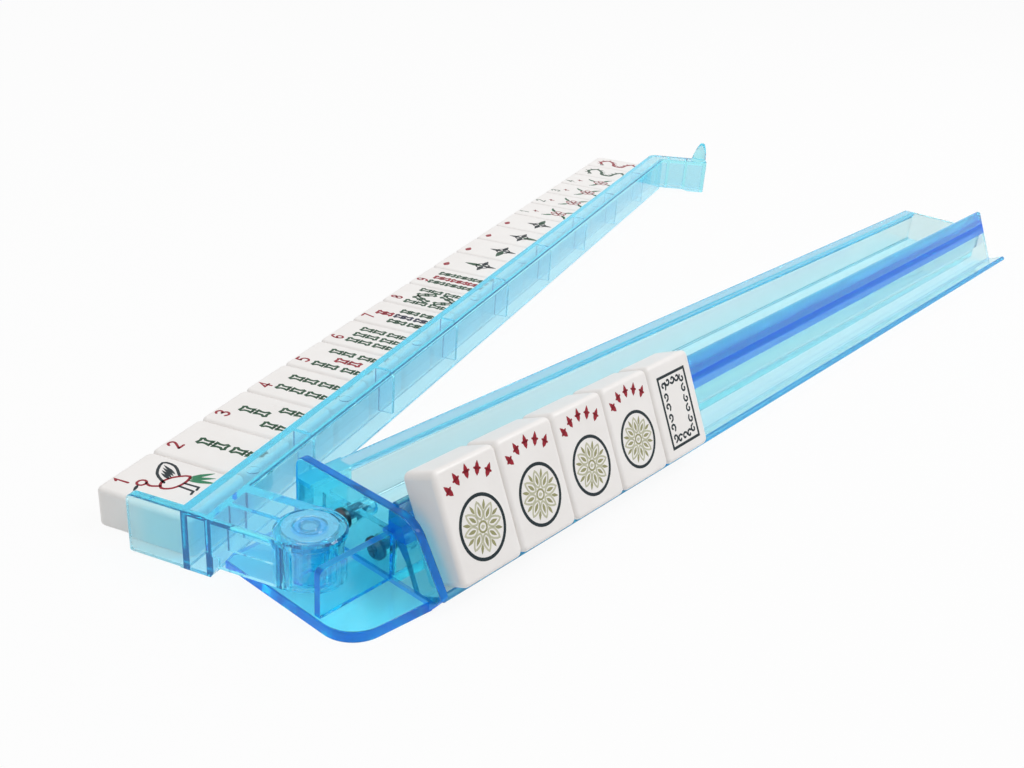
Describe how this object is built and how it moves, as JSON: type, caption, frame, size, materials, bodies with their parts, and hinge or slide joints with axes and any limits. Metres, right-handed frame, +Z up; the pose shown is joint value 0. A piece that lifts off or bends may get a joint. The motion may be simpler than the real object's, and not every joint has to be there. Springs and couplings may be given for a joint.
{
  "type": "mahjong tile rack with pusher",
  "caption": "Translucent tile rack with a sloped shelf and trough, a pusher arm hinged at one end, and tiles standing on the shelf and lined up along the pusher.",
  "frame": {"origin": "where the hinge axis meets the table, on the underside of the hinge bracket's floor plate", "axes": "+X along the rack away from the hinge, +Y from the player's shelf to the back, +Z up"},
  "size_m": [0.4357, 0.226, 0.0339],
  "materials": {
    "aqua_plastic": "clear tinted injection moulding, polished",
    "screw_steel": "plain pan-head screws",
    "tile_resin": "polished white resin",
    "tile_ink": "paint filled into engraved tile faces"
  },
  "bodies": {
    "rack": {"rack_body": "aqua_plastic", "hinge_bracket": "aqua_plastic", "bracket_screws": "screw_steel", "pivot_cap": "aqua_plastic"},
    "pusher": {"pusher_arm": "aqua_plastic"},
    "wall_tile_01": {"wall_tile_01": "tile_resin"},
    "wall_tile_02": {"wall_tile_02": "tile_resin"},
    "wall_tile_03": {"wall_tile_03": "tile_resin"},
    "wall_tile_04": {"wall_tile_04": "tile_resin"},
    "wall_tile_05": {"wall_tile_05": "tile_resin"},
    "wall_tile_06": {"wall_tile_06": "tile_resin"},
    "wall_tile_07": {"wall_tile_07": "tile_resin"},
    "wall_tile_08": {"wall_tile_08": "tile_resin"},
    "wall_tile_09": {"wall_tile_09": "tile_resin"},
    "wall_tile_10": {"wall_tile_10": "tile_resin"},
    "wall_tile_11": {"wall_tile_11": "tile_resin"},
    "wall_tile_12": {"wall_tile_12": "tile_resin"},
    "wall_tile_13": {"wall_tile_13": "tile_resin"},
    "wall_tile_14": {"wall_tile_14": "tile_resin"},
    "wall_tile_15": {"wall_tile_15": "tile_resin"},
    "wall_tile_16": {"wall_tile_16": "tile_resin"},
    "wall_tile_17": {"wall_tile_17": "tile_resin"},
    "wall_tile_18": {"wall_tile_18": "tile_resin"},
    "wall_tile_19": {"wall_tile_19": "tile_resin"},
    "rack_tile_01": {"rack_tile_01": "tile_resin"},
    "rack_tile_02": {"rack_tile_02": "tile_resin"},
    "rack_tile_03": {"rack_tile_03": "tile_resin"},
    "rack_tile_04": {"rack_tile_04": "tile_resin"},
    "rack_tile_05": {"rack_tile_05": "tile_resin"}
  },
  "joints": [
    {"name": "pusher_swing", "type": "hinge", "parent": "rack", "child": "pusher", "pos_m": [0, 0, 0.01], "axis": [0, 0, 1], "range_deg": [-18.7, 91]},
    {"name": "wall_tile_01_lift", "type": "slide", "parent": "pusher", "child": "wall_tile_01", "axis": [0, 0, 1], "range_m": [0, 0.03]},
    {"name": "wall_tile_02_lift", "type": "slide", "parent": "pusher", "child": "wall_tile_02", "axis": [0, 0, 1], "range_m": [0, 0.03]},
    {"name": "wall_tile_03_lift", "type": "slide", "parent": "pusher", "child": "wall_tile_03", "axis": [0, 0, 1], "range_m": [0, 0.03]},
    {"name": "wall_tile_04_lift", "type": "slide", "parent": "pusher", "child": "wall_tile_04", "axis": [0, 0, 1], "range_m": [0, 0.03]},
    {"name": "wall_tile_05_lift", "type": "slide", "parent": "pusher", "child": "wall_tile_05", "axis": [0, 0, 1], "range_m": [0, 0.03]},
    {"name": "wall_tile_06_lift", "type": "slide", "parent": "pusher", "child": "wall_tile_06", "axis": [0, 0, 1], "range_m": [0, 0.03]},
    {"name": "wall_tile_07_lift", "type": "slide", "parent": "pusher", "child": "wall_tile_07", "axis": [0, 0, 1], "range_m": [0, 0.03]},
    {"name": "wall_tile_08_lift", "type": "slide", "parent": "pusher", "child": "wall_tile_08", "axis": [0, 0, 1], "range_m": [0, 0.03]},
    {"name": "wall_tile_09_lift", "type": "slide", "parent": "pusher", "child": "wall_tile_09", "axis": [0, 0, 1], "range_m": [0, 0.03]},
    {"name": "wall_tile_10_lift", "type": "slide", "parent": "pusher", "child": "wall_tile_10", "axis": [0, 0, 1], "range_m": [0, 0.03]},
    {"name": "wall_tile_11_lift", "type": "slide", "parent": "pusher", "child": "wall_tile_11", "axis": [0, 0, 1], "range_m": [0, 0.03]},
    {"name": "wall_tile_12_lift", "type": "slide", "parent": "pusher", "child": "wall_tile_12", "axis": [0, 0, 1], "range_m": [0, 0.03]},
    {"name": "wall_tile_13_lift", "type": "slide", "parent": "pusher", "child": "wall_tile_13", "axis": [0, 0, 1], "range_m": [0, 0.03]},
    {"name": "wall_tile_14_lift", "type": "slide", "parent": "pusher", "child": "wall_tile_14", "axis": [0, 0, 1], "range_m": [0, 0.03]},
    {"name": "wall_tile_15_lift", "type": "slide", "parent": "pusher", "child": "wall_tile_15", "axis": [0, 0, 1], "range_m": [0, 0.03]},
    {"name": "wall_tile_16_lift", "type": "slide", "parent": "pusher", "child": "wall_tile_16", "axis": [0, 0, 1], "range_m": [0, 0.03]},
    {"name": "wall_tile_17_lift", "type": "slide", "parent": "pusher", "child": "wall_tile_17", "axis": [0, 0, 1], "range_m": [0, 0.03]},
    {"name": "wall_tile_18_lift", "type": "slide", "parent": "pusher", "child": "wall_tile_18", "axis": [0, 0, 1], "range_m": [0, 0.03]},
    {"name": "wall_tile_19_lift", "type": "slide", "parent": "pusher", "child": "wall_tile_19", "axis": [0, 0, 1], "range_m": [0, 0.03]},
    {"name": "rack_tile_01_lift", "type": "slide", "parent": "rack", "child": "rack_tile_01", "axis": [0, 0.4226, 0.9063], "range_m": [0, 0.03]},
    {"name": "rack_tile_02_lift", "type": "slide", "parent": "rack", "child": "rack_tile_02", "axis": [0, 0.4226, 0.9063], "range_m": [0, 0.03]},
    {"name": "rack_tile_03_lift", "type": "slide", "parent": "rack", "child": "rack_tile_03", "axis": [0, 0.4226, 0.9063], "range_m": [0, 0.03]},
    {"name": "rack_tile_04_lift", "type": "slide", "parent": "rack", "child": "rack_tile_04", "axis": [0, 0.4226, 0.9063], "range_m": [0, 0.03]},
    {"name": "rack_tile_05_lift", "type": "slide", "parent": "rack", "child": "rack_tile_05", "axis": [0, 0.4226, 0.9063], "range_m": [0, 0.03]}
  ]
}
